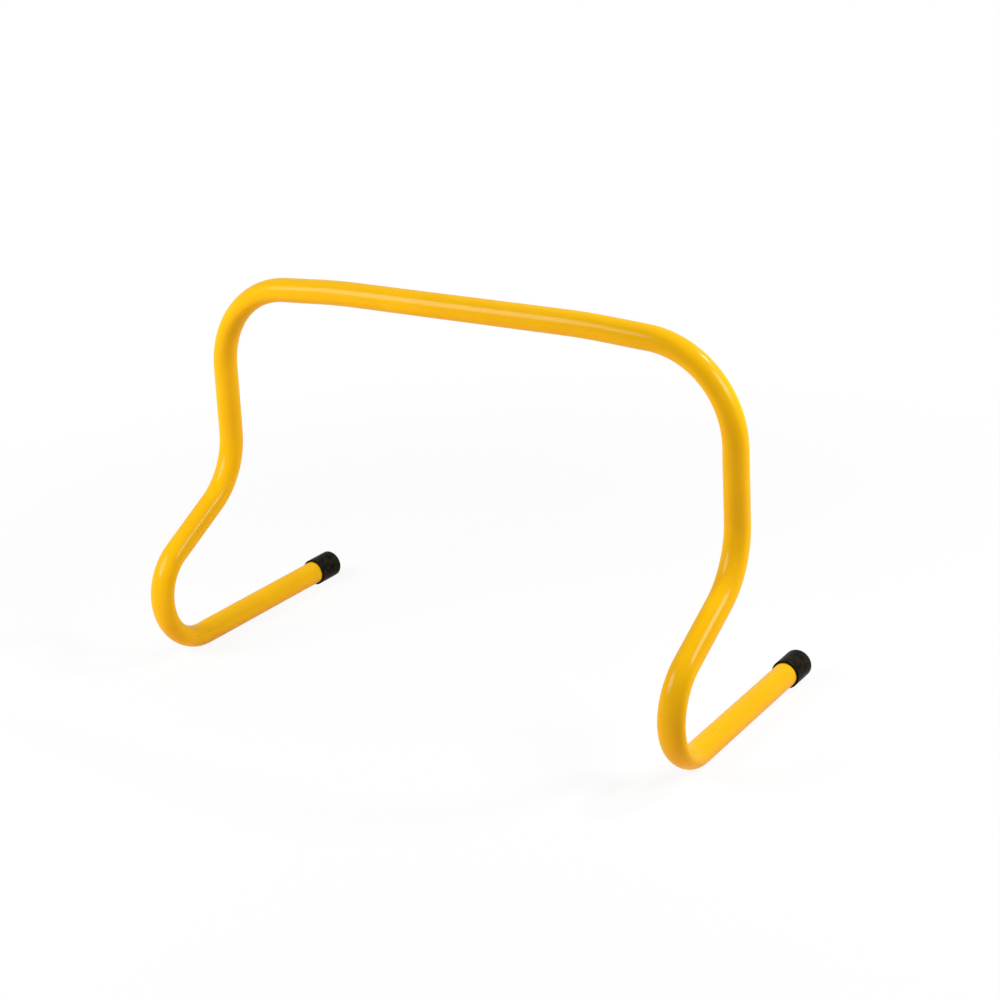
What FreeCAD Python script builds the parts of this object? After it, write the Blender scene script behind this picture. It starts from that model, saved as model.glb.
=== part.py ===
import FreeCAD, Part
import math
import os

# A low training hurdle: one hollow tube bent from end to end, with a push-on cap over the end of each foot.
# Millimetres and degrees. +X runs along the crossbar, +Y to the rear, where the feet end, and +Z up.
# The origin is on the floor, under the middle of the crossbar. The left half mirrors the right one.

# Tube
tube_diameter = 19.0
tube_wall = 2.0

# Straight runs of the tube, from the crossbar out to a foot
bar_length = 184.0          # level middle of the crossbar, between its two shoulder bends
droop_length = 32.3         # from a shoulder bend to the top corner
upright_length = 55.0       # from the top corner to the kink in the leg
slant_length = 55.0         # from the kink to the hairpin
foot_length = 141.5         # from the hairpin to the cap's mouth

# Bend radii at the tube's axis
shoulder_bend_radius = 600.0
corner_bend_radius = 72.5
kink_bend_radius = 58.0
hairpin_bend_radius = 41.0

# Directions of the runs
bar_droop = 3.6             # fall of the crossbar outside its shoulders, below level
upright_splay = 0.8         # lean of the upright outwards, from vertical
slant_angle = 61.0          # lean of the slant forwards, from vertical
foot_toe_in = 1.0           # turn of the foot inwards, from straight back

# End caps
cap_length = 24.8
cap_wall = 1.6
cap_end_thickness = 2.0
cap_end_round = 1.8
cap_rim_round = 0.4
cap_mouth_bevel = 0.6
cap_bore_clearance = 0.05

# Sizes that follow from those above
tube_radius = tube_diameter / 2
tube_bore_radius = tube_radius - tube_wall
cap_bore_radius = tube_radius + cap_bore_clearance
cap_radius = cap_bore_radius + cap_wall
cap_depth = cap_length - cap_end_thickness
bend_radii = [shoulder_bend_radius, corner_bend_radius, kink_bend_radius, hairpin_bend_radius]

LEFT = -1
RIGHT = 1
FULL_TURN = 360
ORIGIN = FreeCAD.Vector(0, 0, 0)
UPWARDS = FreeCAD.Vector(0, 0, 1)


def foot_rise():
    """Angle at which a foot rises to the rear, so that hairpin and wider cap both stand on the floor."""
    tube_outreach = hairpin_bend_radius + tube_radius
    cap_outreach = hairpin_bend_radius + cap_radius
    cap_distance = math.hypot(foot_length, cap_outreach)
    return math.atan2(cap_outreach, foot_length) - math.asin(tube_outreach / cap_distance)


def run_directions():
    """Directions of the right half's straight runs, from the crossbar out to the foot."""
    droop = math.radians(bar_droop)
    splay = math.radians(upright_splay)
    slant = math.radians(slant_angle)
    toe = math.radians(foot_toe_in)
    rise = foot_rise()
    return [
        FreeCAD.Vector(1, 0, 0),
        FreeCAD.Vector(math.cos(droop), 0, -math.sin(droop)),
        FreeCAD.Vector(math.sin(splay), 0, -math.cos(splay)),
        FreeCAD.Vector(0, -math.sin(slant), -math.cos(slant)),
        FreeCAD.Vector(-math.sin(toe) * math.cos(rise), math.cos(toe) * math.cos(rise), math.sin(rise)),
    ]


def setback(radius, ahead, after):
    """Distance from a corner of the axis to where its bend begins."""
    return radius * math.tan(ahead.getAngle(after) / 2)


def on_side(side, vector):
    """The vector itself on the right, and its mirror image on the left."""
    return FreeCAD.Vector(side * vector.x, vector.y, vector.z)


def side_corners(side):
    """Corners of one half of the axis, from the shoulder to the centre of the cap's mouth."""
    directions = run_directions()
    setbacks = [setback(*turn) for turn in zip(bend_radii, directions, directions[1:])]
    lengths = [droop_length, upright_length, slant_length, foot_length]
    corners = [FreeCAD.Vector(bar_length / 2 + setbacks[0], 0, 0)]
    for direction, before, length, after in zip(directions[1:], setbacks, lengths, setbacks[1:] + [0]):
        corners.append(corners[-1] + direction * (before + length + after))
    # The lower edge of the cap's mouth stands on the floor.
    lift = UPWARDS * (cap_radius * math.cos(foot_rise()) - corners[-1].z)
    return [on_side(side, corner + lift) for corner in corners]


def foot_axis(side):
    """The centre of a cap's mouth, and the direction in which that foot runs to the rear."""
    return side_corners(side)[-1], on_side(side, run_directions()[-1])


def tube_corners():
    """Corners of the whole axis, from the left foot's end over the crossbar to the right foot's end."""
    halves = {}
    for side in (LEFT, RIGHT):
        mouth, direction = foot_axis(side)
        halves[side] = side_corners(side)[:-1] + [mouth + direction * cap_depth]
    return halves[LEFT][::-1] + halves[RIGHT]


def bend(before, corner, after, radius):
    """A tangent arc that rounds one corner of the axis."""
    back = (before - corner).normalize()
    ahead = (after - corner).normalize()
    inwards = (back + ahead).normalize()
    half_turn = (math.pi - back.getAngle(ahead)) / 2
    reach = radius * math.tan(half_turn)
    depth = radius / math.cos(half_turn) - radius
    return Part.Arc(corner + back * reach, corner + inwards * depth, corner + ahead * reach)


def tube_axis():
    """Straight runs joined by tangent arcs."""
    corners = tube_corners()
    radii = bend_radii[::-1] + bend_radii
    edges = []
    start = corners[0]
    for before, corner, after, radius in zip(corners, corners[1:], corners[2:], radii):
        arc = bend(before, corner, after, radius)
        edges.append(Part.LineSegment(start, arc.StartPoint).toShape())
        edges.append(arc.toShape())
        start = arc.EndPoint
    edges.append(Part.LineSegment(start, corners[-1]).toShape())
    return Part.Wire(edges)


def round_bar(axis, radius):
    """A solid round bar along the axis, cut square at both ends."""
    first = axis.OrderedEdges[0]
    ring = Part.Circle(first.firstVertex().Point, first.tangentAt(first.FirstParameter), radius)
    return axis.makePipeShell([Part.Wire(ring.toShape())], True, False)


def bent_tube():
    axis = tube_axis()
    return round_bar(axis, tube_radius).cut(round_bar(axis, tube_bore_radius))


def run(start, end):
    return Part.LineSegment(start, end).toShape()


def quarter_round(start, centre, end):
    """A quarter circle from start to end about centre."""
    outwards = ((start - centre) + (end - centre)).normalize()
    return Part.Arc(start, centre + outwards * (start - centre).Length, end).toShape()


def section_point(radius, height):
    """A point of the cap's half section, at this radius and this height above its mouth."""
    return FreeCAD.Vector(radius, 0, height)


def cap_section():
    """Half section of a cap that stands on its mouth, with its closed end on top."""
    rim_inner = section_point(cap_bore_radius + cap_mouth_bevel, 0)
    bore_start = section_point(cap_bore_radius, cap_mouth_bevel)
    seat_edge = section_point(cap_bore_radius, cap_depth)
    seat_middle = section_point(0, cap_depth)
    end_middle = section_point(0, cap_length)
    end_edge = section_point(cap_radius - cap_end_round, cap_length)
    end_centre = section_point(cap_radius - cap_end_round, cap_length - cap_end_round)
    side_top = section_point(cap_radius, cap_length - cap_end_round)
    side_foot = section_point(cap_radius, cap_rim_round)
    rim_centre = section_point(cap_radius - cap_rim_round, cap_rim_round)
    rim_outer = section_point(cap_radius - cap_rim_round, 0)
    return Part.Face(Part.Wire([
        run(rim_inner, bore_start),
        run(bore_start, seat_edge),
        run(seat_edge, seat_middle),
        run(seat_middle, end_middle),
        run(end_middle, end_edge),
        quarter_round(end_edge, end_centre, side_top),
        run(side_top, side_foot),
        quarter_round(side_foot, rim_centre, rim_outer),
        run(rim_outer, rim_inner),
    ]))


def end_cap(side):
    """A cup pushed over the foot until the tube's end seats against its closed end."""
    mouth, direction = foot_axis(side)
    cap = cap_section().revolve(ORIGIN, UPWARDS, FULL_TURN)
    cap.Placement = FreeCAD.Placement(mouth, FreeCAD.Rotation(UPWARDS, direction))
    return cap


pieces = {
    "bent_tube": bent_tube(),
    "left_end_cap": end_cap(LEFT),
    "right_end_cap": end_cap(RIGHT),
}

os.makedirs("parts", exist_ok=True)
for name, shape in pieces.items():
    shape.exportStep(os.path.join("parts", name + ".step"))
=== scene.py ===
import math
from collections import namedtuple

import bpy
from mathutils import Matrix, Vector


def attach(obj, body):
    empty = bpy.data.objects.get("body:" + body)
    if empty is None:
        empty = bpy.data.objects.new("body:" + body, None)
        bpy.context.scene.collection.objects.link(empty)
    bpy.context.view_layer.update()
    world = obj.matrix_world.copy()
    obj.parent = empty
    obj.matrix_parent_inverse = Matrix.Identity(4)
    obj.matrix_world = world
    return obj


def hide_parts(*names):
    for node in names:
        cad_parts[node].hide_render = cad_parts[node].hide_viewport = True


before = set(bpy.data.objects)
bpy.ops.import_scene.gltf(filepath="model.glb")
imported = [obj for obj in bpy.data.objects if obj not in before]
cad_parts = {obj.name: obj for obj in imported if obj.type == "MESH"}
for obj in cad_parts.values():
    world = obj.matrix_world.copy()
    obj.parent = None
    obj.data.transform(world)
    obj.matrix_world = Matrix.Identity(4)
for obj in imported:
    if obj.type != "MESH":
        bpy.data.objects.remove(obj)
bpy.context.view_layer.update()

# A low training hurdle: one bent plastic tube and a push-on cap over the end of each foot.
# Metres and degrees, in the frame of the CAD model: +X along the crossbar, +Y to the rear, +Z up.

MM = 0.001
LEFT = -1
RIGHT = 1
SIDE_NAMES = {LEFT: "left", RIGHT: "right"}

# Tube
TUBE_RADIUS = 9.5 * MM
TUBE_WALL = 2.0 * MM
TUBE_END_BEVEL = 0.4 * MM
TUBE_SIDES = 64
RING_SPACING = 3.0 * MM

# Straight runs of the tube, from the crossbar out to a foot
BAR_LENGTH = 184.0 * MM
DROOP_LENGTH = 32.3 * MM
UPRIGHT_LENGTH = 55.0 * MM
SLANT_LENGTH = 55.0 * MM
FOOT_LENGTH = 141.5 * MM
SIDE_LENGTHS = [DROOP_LENGTH, UPRIGHT_LENGTH, SLANT_LENGTH, FOOT_LENGTH]

# Directions of the runs
BAR_DROOP = 3.6
UPRIGHT_SPLAY = 0.8
SLANT_ANGLE = 61.0
FOOT_TOE_IN = 1.0

# Bends of the tube, from the crossbar out to a foot
SHOULDER_RADIUS = 600.0 * MM
CORNER_RADIUS = 72.5 * MM
KINK_RADIUS = 58.0 * MM
HAIRPIN_RADIUS = 41.0 * MM
BEND_RADII = [SHOULDER_RADIUS, CORNER_RADIUS, KINK_RADIUS, HAIRPIN_RADIUS]

# What bending did to the round section at the middle of a bend: how much thinner it is towards
# the bend's centre, how much wider across the bend, and how far it moved towards the centre
Pressing = namedtuple("Pressing", "thinner wider inwards")
SHOULDER_PRESSING = Pressing(0.0, 0.0, 0.0)
CORNER_PRESSING = Pressing(0.8 * MM, 0.35 * MM, -0.2 * MM)
KINK_PRESSING = Pressing(0.2 * MM, 0.3 * MM, 0.2 * MM)
LEFT_HAIRPIN_PRESSING = Pressing(2.0 * MM, 1.1 * MM, -0.35 * MM)
RIGHT_HAIRPIN_PRESSING = Pressing(2.9 * MM, 1.1 * MM, 0.55 * MM)
PRESSINGS = {
    LEFT: [SHOULDER_PRESSING, CORNER_PRESSING, KINK_PRESSING, LEFT_HAIRPIN_PRESSING],
    RIGHT: [SHOULDER_PRESSING, CORNER_PRESSING, KINK_PRESSING, RIGHT_HAIRPIN_PRESSING],
}
PRESSING_OVERRUN = 0.15     # reaches past each end of the bend by this share of its length

# End caps
CAP_LENGTH = 24.8 * MM
CAP_WALL = 1.6 * MM
CAP_END_THICKNESS = 2.0 * MM
CAP_CLEARANCE = 0.05 * MM
CAP_BORE_RADIUS = TUBE_RADIUS + CAP_CLEARANCE
CAP_RADIUS = CAP_BORE_RADIUS + CAP_WALL
CAP_DEPTH = CAP_LENGTH - CAP_END_THICKNESS
CAP_SEAT_ROUND = 0.5 * MM
CAP_MOUTH_BEVEL = 0.6 * MM
CAP_RIM_ROUND = 0.6 * MM
CAP_END_ROUND = 1.8 * MM
DIMPLE_RADIUS = 2.4 * MM
DIMPLE_DEPTH = 0.5 * MM
DIMPLE_ROUND = 0.25 * MM
NUB_RADIUS = 0.8 * MM
NUB_HEIGHT = 0.35 * MM
NUB_ROUND = 0.2 * MM
SECTION_START = 0.3 * MM    # a fan of triangles closes the section inside this radius
CAP_SIDES = 72
SIDE_STEPS = 8
ROUND_STEPS = 6

# Angles in a cap's half section
DOWNWARDS = -90
OUTWARDS = 0
UPWARDS = 90
QUARTER_TURN = 90

# Meshes
SHARP_EDGE = 40.0
PLACE = "place"             # attribute with each point's place around and along its piece
SAWN_MATERIAL = 1           # number of the sawn ends' material on the tube

# The map that the tube's materials are baked through, in shares of its size: the skin in strips side
# by side, and beside them the bore, with the right and the left sawn end above it
BAKE_MAP = "OFBake"
SKIN_STRIPS = 5
MAP_GAP = 0.006
BORE_TOP = 0.84
RIGHT_SAWN_TOP = 0.92

# Yellow PVC: linear colours, pattern scales per metre and depths in metres
YELLOW_DEEP = (0.86, 0.466, 0.001, 1)
YELLOW_LIGHT = (0.90, 0.491, 0.002, 1)
LINE_STRETCH = (1.0, 1.0, 0.02)
LINE_SCALE = 900.0
LINE_DETAIL = 3.0
LINE_DEPTH = 0.001 * MM
LINE_SHARE = 0.15           # of the tone; the clouds have the rest
CLOUD_SCALE = 25.0
PEEL_SCALE = 500.0
PEEL_DEPTH = 0.001 * MM
TONE_LOW = 0.35
TONE_HIGH = 0.65
GLOSSY_PVC = 0.30
DULL_PVC = 0.40
PVC_SPECULAR = 0.01
PVC_COAT = 0.21             # its skin is glossier than the plastic inside
PVC_COAT_ROUGHNESS = 0.20

# Marks and painted highlights on the tube: distance along it from the left foot's end, angle around it,
# length and width
Mark = namedtuple("Mark", "along around length width")
LEFT_UPPER_SPECK = Mark(238 * MM, 62, 1.5 * MM, 1.2 * MM)
LEFT_LOWER_SPECK = Mark(229 * MM, 62, 1.5 * MM, 1.2 * MM)
LEFT_FRONT_SCUFF = Mark(182 * MM, 146, 6.0 * MM, 1.4 * MM)
LEFT_REAR_SCUFF = Mark(167 * MM, 163, 5.0 * MM, 1.4 * MM)
RIGHT_FOOT_SPECK = Mark(1289 * MM, -118, 2.4 * MM, 1.8 * MM)
# Painted highlights: pale spots where highlights fall on the kinks and the left slant
LEFT_KINK_PAINTED_HIGHLIGHT = Mark(348 * MM, 118, 3.0 * MM, 2.0 * MM)
LEFT_SLANT_PAINTED_HIGHLIGHT = Mark(290 * MM, 73, 3.0 * MM, 2.0 * MM)
RIGHT_KINK_PAINTED_HIGHLIGHT = Mark(1071 * MM, 20, 5.0 * MM, 1.6 * MM)
DARK_MARKS = [LEFT_UPPER_SPECK, LEFT_LOWER_SPECK, LEFT_FRONT_SCUFF, LEFT_REAR_SCUFF, RIGHT_FOOT_SPECK]
PAINTED_HIGHLIGHT_MARKS = [LEFT_KINK_PAINTED_HIGHLIGHT, LEFT_SLANT_PAINTED_HIGHLIGHT, RIGHT_KINK_PAINTED_HIGHLIGHT]
MARK_BROWN = (0.64, 0.30, 0.002, 1)
# Colour of the painted highlights
PAINTED_HIGHLIGHT_YELLOW = (0.93, 0.54, 0.04, 1)
RAGGED_SCALE = 1200.0
RAGGED_SHARE = 0.5
MARK_CORE = 0.4             # inside this share of its reach a mark has its full colour
MARK_EDGE = 1.0 + RAGGED_SHARE / 2

# Wear where the hairpins stand on the floor
WEAR_TOP = 2.5 * MM
WEAR_FULL = 0.3 * MM
WEAR_SCALE = 400.0
WEAR_LOW = 0.35
WEAR_HIGH = 0.6
WEAR_BROWN = (0.55, 0.28, 0.02, 1)
WORN_PVC = 0.5

# The tube's sawn ends
SAWN_DEEP = (0.74, 0.40, 0.02, 1)
SAWN_PALE = (0.86, 0.55, 0.08, 1)
SAW_STRETCH = (1.0, 0.05, 1.0)
SAW_SCALE = 2200.0
SAW_DEPTH = 0.05 * MM
SMOOTH_SAWN = 0.5
ROUGH_SAWN = 0.7

# Black vinyl
VINYL_BLACK = (0.0028, 0.0021, 0.0004, 1)
VINYL_GREY = (0.0185, 0.0152, 0.0068, 1)
# Painted shade: the rim round a cap's mouth is coloured darker, as if in shadow
MOUTH_PAINTED_SHADE = (0.0015, 0.0012, 0.0008, 1)
MOUTH_SHADE_FULL = 0.5 * MM         # the painted shade round the mouth is darkest up to this height
MOUTH_SHADE_TOP = 1.1 * MM
MOTTLE_SCALE = 220.0
MOTTLE_DETAIL = 4.0
MOTTLE_ROUGHNESS = 0.65
MOTTLE_LOW = 0.35
MOTTLE_HIGH = 0.7
MOTTLE_DEPTH = 0.05 * MM
GRAIN_SCALE = 1500.0
GRAIN_DEPTH = 0.02 * MM
GLOSSY_VINYL = 0.32
DULL_VINYL = 0.42
VINYL_SPECULAR = 0.01
VINYL_COAT = 0.06
VINYL_COAT_ROUGHNESS = 0.35

# Noise patterns that give no detail or roughness of their own
NOISE_DETAIL = 2.0
NOISE_ROUGHNESS = 0.5

# Floor and room
FLOOR_REACH = 12.0
FLOOR_WHITE = (0.9, 0.9, 0.9, 1)
FLOOR_BOUNCE = (0.96, 0.78, 0.62, 1)    # tints the light that the floor throws back
FLOOR_GLOW = 0.9            # share of plain white in the floor near the object, where it is seen
FADE_START = 0.35
FADE_END = 0.85
ROOM_LIGHT = (0.03, 0.026, 0.021, 1)
WHITE = (1, 1, 1, 1)

# Lamps: round ones with their place, diameter and power in watts
Lamp = namedtuple("Lamp", "name place size power")
LEFT_SOFTBOX = Lamp("left_softbox", Vector((-0.66, -0.84, 0.79)), 0.70, 14.0)
RIGHT_SOFTBOX = Lamp("right_softbox", Vector((0.92, 0.20, 0.80)), 0.42, 8.0)
BACK_LAMP = Lamp("back_lamp", Vector((0.62, 0.73, 1.14)), 0.14, 7.0)
LAMP_AIM = Vector((0, 0, 120 * MM))

# Camera
CAMERA_AZIMUTH = 34.327
CAMERA_ELEVATION = 20.119
CAMERA_ROLL = -2.782
CAMERA_DISTANCE = 1636.431 * MM
CAMERA_AIM = Vector((0, 0, 150 * MM))
CAMERA_OFFSET_RIGHT = -25.589 * MM
CAMERA_OFFSET_UP = 6.682 * MM
SENSOR_WIDTH = 36.0
FOCAL_PIXELS = 2157.29
IMAGE_PIXELS = 1000


# The tube's route

def foot_rise():
    """Angle at which a foot rises to the rear, so that hairpin and cap both stand on the floor."""
    tube_outreach = HAIRPIN_RADIUS + TUBE_RADIUS
    cap_outreach = HAIRPIN_RADIUS + CAP_RADIUS
    cap_distance = math.hypot(FOOT_LENGTH, cap_outreach)
    return math.atan2(cap_outreach, FOOT_LENGTH) - math.asin(tube_outreach / cap_distance)


def run_directions():
    """Directions of the right half's straight runs, from the crossbar out to the foot."""
    droop = math.radians(BAR_DROOP)
    splay = math.radians(UPRIGHT_SPLAY)
    slant = math.radians(SLANT_ANGLE)
    toe = math.radians(FOOT_TOE_IN)
    rise = foot_rise()
    return [
        Vector((1, 0, 0)),
        Vector((math.cos(droop), 0, -math.sin(droop))),
        Vector((math.sin(splay), 0, -math.cos(splay))),
        Vector((0, -math.sin(slant), -math.cos(slant))),
        Vector((-math.sin(toe) * math.cos(rise), math.cos(toe) * math.cos(rise), math.sin(rise))),
    ]


def setback(radius, turn):
    """Distance from a corner of the axis to where its bend begins."""
    return radius * math.tan(turn / 2)


def on_side(side, vector):
    """The vector itself on the right, and its mirror image on the left."""
    return Vector((side * vector.x, vector.y, vector.z))


def side_corners(side):
    """Corners of one half of the axis, from the shoulder to the centre of the cap's mouth."""
    directions = run_directions()
    setbacks = [setback(radius, ahead.angle(after))
                for radius, ahead, after in zip(BEND_RADII, directions, directions[1:])]
    setbacks_after = setbacks[1:] + [0]
    corners = [Vector((BAR_LENGTH / 2 + setbacks[0], 0, 0))]
    for direction, before, length, after in zip(directions[1:], setbacks, SIDE_LENGTHS, setbacks_after):
        corners.append(corners[-1] + direction * (before + length + after))
    # The lower edge of the cap's mouth stands on the floor.
    lift = Vector((0, 0, CAP_RADIUS * math.cos(foot_rise()) - corners[-1].z))
    return [on_side(side, corner + lift) for corner in corners]


def foot_axis(side):
    """The centre of a cap's mouth, and the direction in which that foot runs to the rear."""
    return side_corners(side)[-1], on_side(side, run_directions()[-1])


def tube_corners():
    """Corners of the whole axis, from the left foot's end over the crossbar to the right foot's end."""
    halves = {}
    for side in (LEFT, RIGHT):
        mouth, direction = foot_axis(side)
        halves[side] = side_corners(side)[:-1] + [mouth + direction * CAP_DEPTH]
    return halves[LEFT][::-1] + halves[RIGHT]


class Straight:
    """A straight run of the tube's axis, which begins at this distance along the tube."""

    def __init__(self, start, end, distance):
        self.start = start
        self.end = end
        self.distance = distance
        self.length = (end - start).length
        self.forward = (end - start).normalized()

    def point(self, way):
        return self.start + self.forward * way

    def direction(self, way):
        return self.forward


class Bend:
    """A tangent arc of the tube's axis, and how forming it pressed the tube out of round."""

    def __init__(self, before, corner, after, radius, pressing):
        back = (before - corner).normalized()
        ahead = (after - corner).normalized()
        self.turn = math.pi - back.angle(ahead)
        self.radius = radius
        self.length = radius * self.turn
        self.forward = -back
        self.inward = (ahead - ahead.project(back)).normalized()
        self.start = corner + back * setback(radius, self.turn)
        self.end = corner + ahead * setback(radius, self.turn)
        self.pressing = pressing
        self.distance = 0.0     # along the tube, where the bend begins; set once that is known

    def point(self, way):
        angle = way / self.radius
        along = self.forward * math.sin(angle) + self.inward * (1 - math.cos(angle))
        return self.start + along * self.radius

    def direction(self, way):
        angle = way / self.radius
        return self.forward * math.cos(angle) + self.inward * math.sin(angle)

    def weight(self, distance):
        """1 at the middle of the bend, falling smoothly to 0 a little past its ends."""
        middle = self.distance + self.length / 2
        reach = self.length / 2 + self.length * PRESSING_OVERRUN
        place = abs(distance - middle) / reach
        return math.cos(place * math.pi / 2) ** 2 if place < 1 else 0.0

    def pressed(self, distance, spoke):
        """How far the skin has moved at this distance along the tube, on the spoke's side."""
        angle = min(max((distance - self.distance) / self.radius, 0.0), self.turn)
        inward = self.inward * math.cos(angle) - self.forward * math.sin(angle)
        across = self.forward.cross(self.inward)
        moved = inward * (self.pressing.inwards - self.pressing.thinner * spoke.dot(inward))
        moved += across * (self.pressing.wider * spoke.dot(across))
        return moved * self.weight(distance)


def tube_runs():
    """The axis as straight runs and bends in turn, from the left foot's end to the right foot's end."""
    corners = tube_corners()
    radii = BEND_RADII[::-1] + BEND_RADII
    pressings = PRESSINGS[LEFT][::-1] + PRESSINGS[RIGHT]
    runs = []
    start, distance = corners[0], 0.0
    for turn in zip(corners, corners[1:], corners[2:], radii, pressings):
        bend = Bend(*turn)
        straight = Straight(start, bend.start, distance)
        bend.distance = straight.distance + straight.length
        runs += [straight, bend]
        start, distance = bend.end, bend.distance + bend.length
    return runs + [Straight(start, corners[-1], distance)]


Station = namedtuple("Station", "point direction distance")


def tube_stations(runs):
    """Stations along the axis, about a ring's spacing apart."""
    stations = []
    for run in runs:
        steps = math.ceil(run.length / RING_SPACING)
        for step in range(steps):
            way = run.length * step / steps
            stations.append(Station(run.point(way), run.direction(way), run.distance + way))
    last = runs[-1]
    stations.append(Station(last.end, last.forward, last.distance + last.length))
    return stations


# Meshes

def ring_turns(sides):
    """Angles of a ring's points round its centre."""
    return [2 * math.pi * side / sides for side in range(sides)]


def round_place(radius, turn, along):
    """A place around and along a piece, as if its axis were straight."""
    return Vector((radius * math.cos(turn), radius * math.sin(turn), along))


def tube_spokes(stations):
    """Unit vectors from each station to the sides of its section, carried along without a twist."""
    turns = ring_turns(TUBE_SIDES)
    spoke = stations[0].direction.orthogonal().normalized()
    rings = []
    for before, station in zip([stations[0]] + stations, stations):
        spoke = before.direction.rotation_difference(station.direction) @ spoke
        rings.append([Matrix.Rotation(turn, 3, station.direction) @ spoke for turn in turns])
    return rings


def ring_mesh(name, rings, place_rings, closed, sawn_rows=()):
    """A closed mesh of quads between rings of equal length.

    Where the last ring doesn't join the first, a fan of triangles closes each end. The place rings hold
    each point's place around and along the piece, for its material. The sawn rows are rows of faces with
    the sawn material, each counted by the ring that it starts from.
    """
    sides = len(rings[0])
    points = [point for ring in rings for point in ring]
    places = [place for ring in place_rings for place in ring]
    faces = []

    def close_end(first, order):
        middle = len(points)
        points.append(sum(points[first:first + sides], Vector()) / sides)
        places.append(sum(places[first:first + sides], Vector()) / sides)
        for side in range(sides):
            edge = (first + side, first + (side + 1) % sides)
            faces.append((*edge[::order], middle))

    for row in range(len(rings) if closed else len(rings) - 1):
        here = row * sides
        there = (row + 1) % len(rings) * sides
        for side in range(sides):
            beside = (side + 1) % sides
            faces.append((here + side, here + beside, there + beside, there + side))
    if not closed:
        last_ring = len(points) - sides
        close_end(0, order=-1)
        close_end(last_ring, order=1)
    mesh = bpy.data.meshes.new(name)
    mesh.from_pydata(points, [], faces)
    mesh.polygons.foreach_set("use_smooth", [True] * len(mesh.polygons))
    mesh.set_sharp_from_angle(angle=math.radians(SHARP_EDGE))
    for row in sawn_rows:
        for face in mesh.polygons[row * sides:(row + 1) * sides]:
            face.material_index = SAWN_MATERIAL
    attribute = mesh.attributes.new(PLACE, "FLOAT_VECTOR", "POINT")
    attribute.data.foreach_set("vector", [value for place in places for value in place])
    return mesh


def lay_out_tube(mesh, right_end, left_end):
    """Gives each row of the tube's faces its place on the bake map.

    The map has columns of equal width, with gaps between them. The right and the left end are the
    sawn rows: the skin's rows come before the right one, and the bore's between the two.
    """
    width = 1 / (SKIN_STRIPS + 1)
    patches = {}

    def add_patch(column, rows, bottom, top):
        start = column * width + MAP_GAP / 2
        span = top - bottom - MAP_GAP
        for number, row in enumerate(rows):
            low = bottom + MAP_GAP / 2 + span * number / len(rows)
            patches[row] = (start, low, low + span / len(rows))

    for strip in range(SKIN_STRIPS):
        first = right_end * strip // SKIN_STRIPS
        last = right_end * (strip + 1) // SKIN_STRIPS
        add_patch(strip, range(first, last), 0.0, 1.0)
    add_patch(SKIN_STRIPS, range(right_end + 1, left_end), 0.0, BORE_TOP)
    add_patch(SKIN_STRIPS, [right_end], BORE_TOP, RIGHT_SAWN_TOP)
    add_patch(SKIN_STRIPS, [left_end], RIGHT_SAWN_TOP, 1.0)
    step = (width - MAP_GAP) / TUBE_SIDES
    corners = []
    for row in range(left_end + 1):
        start, low, high = patches[row]
        for side in range(TUBE_SIDES):
            near = start + step * side
            far = start + step * (side + 1)
            corners += [near, low, far, low, far, high, near, high]
    mesh.uv_layers.new(name=BAKE_MAP).uv.foreach_set("vector", corners)


def bent_tube():
    """The tube's skin, its bore and its two cut ends as one closed mesh."""
    runs = tube_runs()
    bends = [run for run in runs if isinstance(run, Bend)]
    stations = tube_stations(runs)
    spokes = tube_spokes(stations)
    turns = ring_turns(TUBE_SIDES)
    rings = []
    place_rings = []

    def add_ring(number, radius, shift=0.0):
        station = stations[number]
        centre = station.point + station.direction * shift
        near = [bend for bend in bends if bend.weight(station.distance) > 0]
        ring = []
        for spoke in spokes[number]:
            pressed = sum((bend.pressed(station.distance, spoke) for bend in near), Vector())
            ring.append(centre + spoke * radius + pressed)
        rings.append(ring)
        place_rings.append([round_place(radius, turn, station.distance + shift) for turn in turns])

    bore = TUBE_RADIUS - TUBE_WALL
    bevel = TUBE_END_BEVEL
    last = len(stations) - 1
    add_ring(0, TUBE_RADIUS - bevel)
    add_ring(0, TUBE_RADIUS, bevel)
    for number in range(1, last):
        add_ring(number, TUBE_RADIUS)
    add_ring(last, TUBE_RADIUS, -bevel)
    add_ring(last, TUBE_RADIUS - bevel)
    right_end = len(rings) - 1
    add_ring(last, bore + bevel)
    add_ring(last, bore, -bevel)
    for number in range(last - 1, 0, -1):
        add_ring(number, bore)
    add_ring(0, bore, bevel)
    add_ring(0, bore + bevel)
    left_end = len(rings) - 1
    mesh = ring_mesh("bent_tube_skin", rings, place_rings, closed=True, sawn_rows=(right_end, left_end))
    lay_out_tube(mesh, right_end, left_end)
    return mesh


def quarter_round(centre, radius, start):
    """Section points on a quarter circle, from the start angle on, turning to the left."""
    section = []
    for step in range(ROUND_STEPS + 1):
        angle = math.radians(start + QUARTER_TURN * step / ROUND_STEPS)
        section.append((centre[0] + radius * math.cos(angle), centre[1] + radius * math.sin(angle)))
    return section


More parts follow.
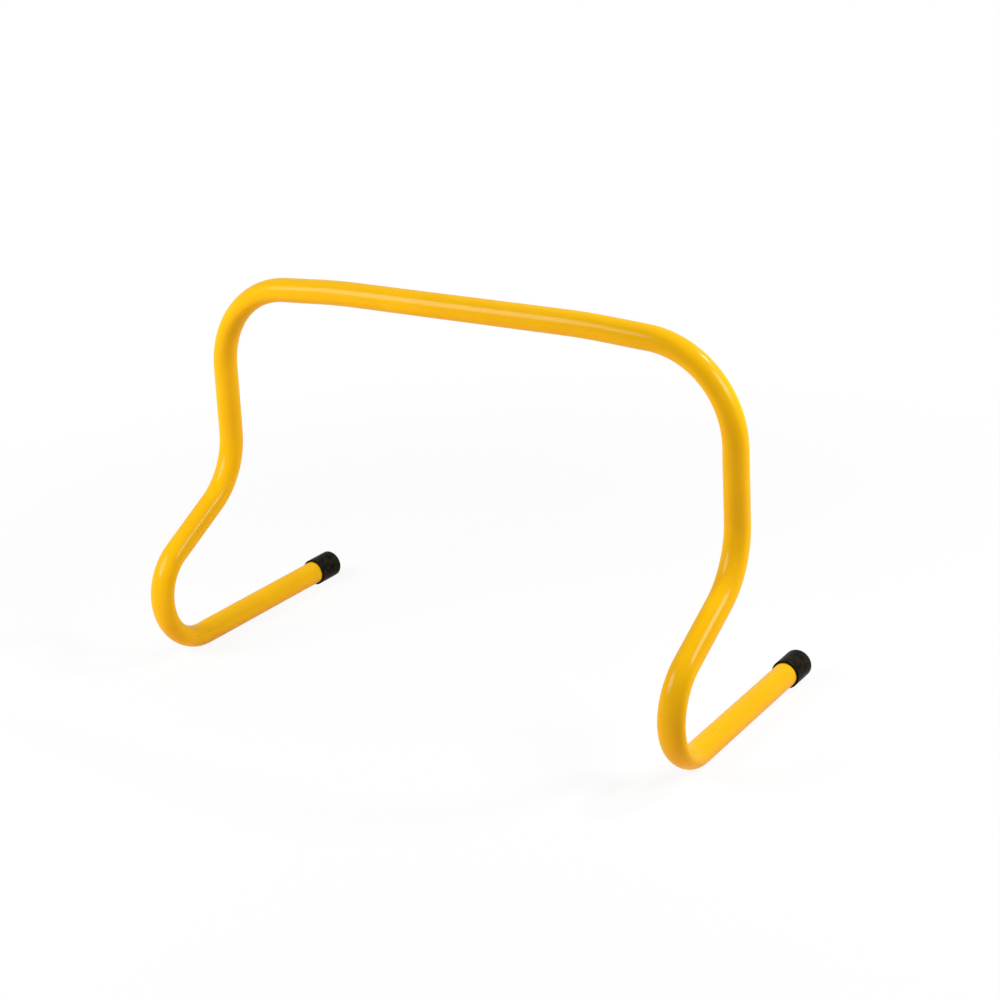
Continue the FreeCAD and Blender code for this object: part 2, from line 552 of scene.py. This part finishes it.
def cap_section():
    """A cap's half section, as pairs of radius and height above the mouth.

    It runs from the middle of the seat down the bore, round the rim, up the side and over the closed
    end to the nub in the middle of its dimple.
    """
    seat = CAP_DEPTH
    top = CAP_LENGTH
    floor = top - DIMPLE_DEPTH
    nub_top = floor + NUB_HEIGHT
    side_start = CAP_RIM_ROUND
    side_end = top - CAP_END_ROUND
    section = [
        (SECTION_START, seat),
        (CAP_BORE_RADIUS - CAP_SEAT_ROUND, seat),
        (CAP_BORE_RADIUS, seat - CAP_SEAT_ROUND),
        (CAP_BORE_RADIUS, CAP_MOUTH_BEVEL),
        (CAP_BORE_RADIUS + CAP_MOUTH_BEVEL, 0.0),
    ]
    section += quarter_round((CAP_RADIUS - CAP_RIM_ROUND, side_start), CAP_RIM_ROUND, DOWNWARDS)
    for step in range(1, SIDE_STEPS):
        section.append((CAP_RADIUS, side_start + (side_end - side_start) * step / SIDE_STEPS))
    section += quarter_round((CAP_RADIUS - CAP_END_ROUND, side_end), CAP_END_ROUND, OUTWARDS)
    section += quarter_round((DIMPLE_RADIUS + DIMPLE_ROUND, top - DIMPLE_ROUND), DIMPLE_ROUND, UPWARDS)
    section += [(DIMPLE_RADIUS - DIMPLE_ROUND, floor), (NUB_RADIUS, floor)]
    section += quarter_round((NUB_RADIUS - NUB_ROUND, nub_top - NUB_ROUND), NUB_ROUND, OUTWARDS)
    section += [(SECTION_START, nub_top)]
    return section


def end_cap(side):
    """A push-on cap: its section turned round the axis of its foot."""
    mouth, direction = foot_axis(side)
    turn_up = direction.to_track_quat("Z", "Y").to_matrix()
    turns = ring_turns(CAP_SIDES)
    place_rings = [[round_place(radius, turn, height) for turn in turns]
                   for radius, height in cap_section()]
    rings = [[mouth + turn_up @ place for place in ring] for ring in place_rings]
    return ring_mesh(SIDE_NAMES[side] + "_cap_skin", rings, place_rings, closed=False)


def add_object(name, data):
    thing = bpy.data.objects.new(name, data)
    bpy.context.scene.collection.objects.link(thing)
    return thing


def add_piece(mesh, body, node, materials):
    """Adds a piece that stands for a CAD node and rides on its body."""
    piece = add_object(mesh.name, mesh)
    for material in materials:
        mesh.materials.append(material)
    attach(piece, body)
    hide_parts(node)


# Nodes

def new_material(name):
    material = bpy.data.materials.new(name)
    material.use_nodes = True
    return material, material.node_tree, material.node_tree.nodes["Principled BSDF"]


def set_inputs(tree, node, inputs):
    """Sets a node's inputs. Each is a value, or a socket to link to it."""
    for name, value in inputs.items():
        set_input(tree, node.inputs[name], value)


def set_input(tree, socket, value):
    if isinstance(value, bpy.types.NodeSocket):
        tree.links.new(value, socket)
    else:
        socket.default_value = value


def add_node(tree, kind, inputs=None, **settings):
    node = tree.nodes.new(kind)
    for name, value in settings.items():
        setattr(node, name, value)
    set_inputs(tree, node, inputs or {})
    return node


def noise(tree, vector, scale, detail=NOISE_DETAIL, roughness=NOISE_ROUGHNESS):
    inputs = {"Vector": vector, "Scale": scale, "Detail": detail, "Roughness": roughness}
    return add_node(tree, "ShaderNodeTexNoise", inputs).outputs["Fac"]


def vector_math(tree, operation, *vectors):
    return add_node(tree, "ShaderNodeVectorMath", dict(enumerate(vectors)), operation=operation)


def stretched(tree, vector, factors):
    """The vector times a factor on each axis. A small factor draws a pattern out along its axis."""
    return vector_math(tree, "MULTIPLY", vector, factors).outputs["Vector"]


def length_of(tree, vector):
    return vector_math(tree, "LENGTH", vector).outputs["Value"]


def height_of(tree, vector):
    return add_node(tree, "ShaderNodeSeparateXYZ", {0: vector}).outputs["Z"]


def remap(tree, value, low, high, to_low=0.0, to_high=1.0):
    inputs = {"Value": value, "From Min": low, "From Max": high, "To Min": to_low, "To Max": to_high}
    node = add_node(tree, "ShaderNodeMapRange", inputs, interpolation_type="SMOOTHSTEP")
    return node.outputs["Result"]


def combine(tree, operation, first, second):
    return add_node(tree, "ShaderNodeMath", {0: first, 1: second}, operation=operation).outputs["Value"]


def mix_colours(tree, factor, first, second):
    node = add_node(tree, "ShaderNodeMix", {"Factor": factor}, data_type="RGBA")
    colours = [socket for socket in node.inputs if socket.type == "RGBA"]
    for socket, value in zip(colours, (first, second)):
        set_input(tree, socket, value)
    return next(socket for socket in node.outputs if socket.type == "RGBA")


def bump(tree, height, distance, below=None):
    inputs = {"Height": height, "Distance": distance}
    if below is not None:
        inputs["Normal"] = below
    return add_node(tree, "ShaderNodeBump", inputs).outputs["Normal"]


# Materials

def piece_place(tree):
    """Each point's place around and along its piece."""
    return add_node(tree, "ShaderNodeAttribute", attribute_name=PLACE).outputs["Vector"]


def world_place(tree):
    """Each point's place in the shared frame, with the part at rest."""
    return add_node(tree, "ShaderNodeTexCoord").outputs["Object"]


def marked(tree, place, marks):
    """1 on the marks and 0 off them, with ragged edges."""
    ragged = combine(tree, "MULTIPLY", noise(tree, place, RAGGED_SCALE), RAGGED_SHARE)
    mask = 0.0
    for mark in marks:
        middle = round_place(TUBE_RADIUS, math.radians(mark.around), mark.along)
        offset = vector_math(tree, "SUBTRACT", place, middle).outputs["Vector"]
        offset = stretched(tree, offset, (2 / mark.width, 2 / mark.width, 2 / mark.length))
        reach = combine(tree, "ADD", length_of(tree, offset), ragged)
        mask = combine(tree, "MAXIMUM", mask, remap(tree, reach, MARK_EDGE, MARK_CORE))
    return mask


def worn_at_floor(tree):
    """1 in the patches that rub on the floor, 0 above them."""
    place = world_place(tree)
    low = remap(tree, height_of(tree, place), WEAR_TOP, WEAR_FULL)
    patches = remap(tree, noise(tree, place, WEAR_SCALE), WEAR_LOW, WEAR_HIGH)
    return combine(tree, "MULTIPLY", low, patches)


def tube_material():
    """Semi-gloss yellow PVC with drawing lines, a slight orange peel, a few marks, painted highlights on
    the kinks and the left slant, and worn hairpins.
    """
    material, tree, shader = new_material("yellow_pvc")
    place = piece_place(tree)
    lines = noise(tree, stretched(tree, place, LINE_STRETCH), LINE_SCALE, LINE_DETAIL)
    clouds = noise(tree, place, CLOUD_SCALE)
    peel = noise(tree, place, PEEL_SCALE)
    tone = combine(tree, "ADD", combine(tree, "MULTIPLY", clouds, 1 - LINE_SHARE),
                   combine(tree, "MULTIPLY", lines, LINE_SHARE))
    wear = worn_at_floor(tree)
    colour = mix_colours(tree, remap(tree, tone, TONE_LOW, TONE_HIGH), YELLOW_DEEP, YELLOW_LIGHT)
    colour = mix_colours(tree, wear, colour, WEAR_BROWN)
    colour = mix_colours(tree, marked(tree, place, DARK_MARKS), colour, MARK_BROWN)
    # Painted highlights: pale spots on the kinks and the left slant
    colour = mix_colours(tree, marked(tree, place, PAINTED_HIGHLIGHT_MARKS), colour, PAINTED_HIGHLIGHT_YELLOW)
    gloss = remap(tree, tone, TONE_LOW, TONE_HIGH, GLOSSY_PVC, DULL_PVC)
    set_inputs(tree, shader, {
        "Base Color": colour,
        "Roughness": combine(tree, "MAXIMUM", gloss, combine(tree, "MULTIPLY", wear, WORN_PVC)),
        "Normal": bump(tree, lines, LINE_DEPTH, below=bump(tree, peel, PEEL_DEPTH)),
        "Specular IOR Level": PVC_SPECULAR,
        "Coat Weight": PVC_COAT,
        "Coat Roughness": PVC_COAT_ROUGHNESS,
    })
    return material


def sawn_material():
    """The dull face of a sawn tube end, with the saw's lines across it."""
    material, tree, shader = new_material("sawn_pvc")
    lines = noise(tree, stretched(tree, piece_place(tree), SAW_STRETCH), SAW_SCALE)
    tone = remap(tree, lines, TONE_LOW, TONE_HIGH)
    set_inputs(tree, shader, {
        "Base Color": mix_colours(tree, tone, SAWN_DEEP, SAWN_PALE),
        "Roughness": remap(tree, lines, TONE_LOW, TONE_HIGH, SMOOTH_SAWN, ROUGH_SAWN),
        "Normal": bump(tree, lines, SAW_DEPTH),
        "Specular IOR Level": PVC_SPECULAR,
    })
    return material


def cap_material():
    """Satin black vinyl, slightly mottled and dusty and finely grained, with painted shade darkening it
    round its mouth.
    """
    material, tree, shader = new_material("black_vinyl")
    place = piece_place(tree)
    mottle = noise(tree, place, MOTTLE_SCALE, MOTTLE_DETAIL, MOTTLE_ROUGHNESS)
    grain = noise(tree, place, GRAIN_SCALE)
    colour = mix_colours(tree, remap(tree, mottle, MOTTLE_LOW, MOTTLE_HIGH), VINYL_BLACK, VINYL_GREY)
    # Painted shade: darker towards the mouth's rim, as if in shadow
    mouth_shade = remap(tree, height_of(tree, place), MOUTH_SHADE_TOP, MOUTH_SHADE_FULL)
    set_inputs(tree, shader, {
        "Base Color": mix_colours(tree, mouth_shade, colour, MOUTH_PAINTED_SHADE),
        "Roughness": remap(tree, mottle, MOTTLE_LOW, MOTTLE_HIGH, GLOSSY_VINYL, DULL_VINYL),
        "Normal": bump(tree, mottle, MOTTLE_DEPTH, below=bump(tree, grain, GRAIN_DEPTH)),
        "Specular IOR Level": VINYL_SPECULAR,
        "Coat Weight": VINYL_COAT,
        "Coat Roughness": VINYL_COAT_ROUGHNESS,
    })
    return material


def seen_directly(tree):
    """1 for rays that show the background itself or its reflection, 0 for rays that carry its light."""
    path = add_node(tree, "ShaderNodeLightPath")
    seen = combine(tree, "MAXIMUM", path.outputs["Is Camera Ray"], path.outputs["Is Glossy Ray"])
    return combine(tree, "MAXIMUM", seen, path.outputs["Is Transmission Ray"])


def floor_material():
    """White paper that keeps the shadow near the object and fades into the background further out."""
    material, tree, shader = new_material("white_floor")
    tree.nodes.remove(shader)
    # Its glow is only for what is seen of it, so it isn't sampled as a lamp.
    material.cycles.emission_sampling = "NONE"
    seen = seen_directly(tree)
    far = length_of(tree, world_place(tree))
    share = combine(tree, "MULTIPLY", seen, remap(tree, far, FADE_START, FADE_END, FLOOR_GLOW, 1.0))
    colour = mix_colours(tree, seen, FLOOR_BOUNCE, FLOOR_WHITE)
    paper = add_node(tree, "ShaderNodeBsdfDiffuse", {"Color": colour}).outputs["BSDF"]
    glow = add_node(tree, "ShaderNodeEmission").outputs["Emission"]
    mixed = add_node(tree, "ShaderNodeMixShader", {0: share, 1: paper, 2: glow}).outputs["Shader"]
    set_inputs(tree, tree.nodes["Material Output"], {"Surface": mixed})
    return material


# Surroundings

def make_floor():
    reach = FLOOR_REACH
    corners = [(-reach, -reach, 0), (reach, -reach, 0), (reach, reach, 0), (-reach, reach, 0)]
    mesh = bpy.data.meshes.new("floor")
    mesh.from_pydata(corners, [], [(0, 1, 2, 3)])
    mesh.materials.append(floor_material())
    floor = add_object("floor", mesh)


def make_world():
    world = bpy.data.worlds.new("studio")
    world.use_nodes = True
    # Its white is only for what is seen of it, so it isn't sampled as a lamp.
    world.cycles.sampling_method = "NONE"
    tree = world.node_tree
    colour = mix_colours(tree, seen_directly(tree), ROOM_LIGHT, WHITE)
    set_inputs(tree, tree.nodes["Background"], {"Color": colour})
    bpy.context.scene.world = world


def make_lamp(lamp):
    data = bpy.data.lights.new(lamp.name, "AREA")
    data.shape = "DISK"
    data.size = lamp.size
    data.energy = lamp.power
    thing = add_object(lamp.name, data)
    thing.location = lamp.place
    thing.rotation_mode = "QUATERNION"
    thing.rotation_quaternion = (lamp.place - LAMP_AIM).to_track_quat("Z", "Y")
    thing.visible_camera = False


def make_camera():
    azimuth = math.radians(CAMERA_AZIMUTH)
    elevation = math.radians(CAMERA_ELEVATION)
    back = Vector((math.sin(azimuth) * math.cos(elevation), -math.cos(azimuth) * math.cos(elevation),
                   math.sin(elevation)))
    level = Vector((math.cos(azimuth), math.sin(azimuth), 0))
    right = Matrix.Rotation(math.radians(CAMERA_ROLL), 3, back) @ level
    up = back.cross(right)
    data = bpy.data.cameras.new("camera")
    data.sensor_width = SENSOR_WIDTH
    data.lens = FOCAL_PIXELS * SENSOR_WIDTH / IMAGE_PIXELS
    camera = add_object("camera", data)
    camera.matrix_world = Matrix((right, up, back)).transposed().to_4x4()
    aim = CAMERA_AIM - right * CAMERA_OFFSET_RIGHT - up * CAMERA_OFFSET_UP
    camera.location = aim + back * CAMERA_DISTANCE
    bpy.context.scene.camera = camera


add_piece(bent_tube(), "tube", "bent_tube", [tube_material(), sawn_material()])
vinyl = cap_material()
for side, side_name in SIDE_NAMES.items():
    add_piece(end_cap(side), side_name + "_cap", side_name + "_end_cap", [vinyl])

make_floor()
make_world()
for lamp in (LEFT_SOFTBOX, RIGHT_SOFTBOX, BACK_LAMP):
    make_lamp(lamp)
make_camera()
bpy.context.scene.view_settings.view_transform = "Standard"
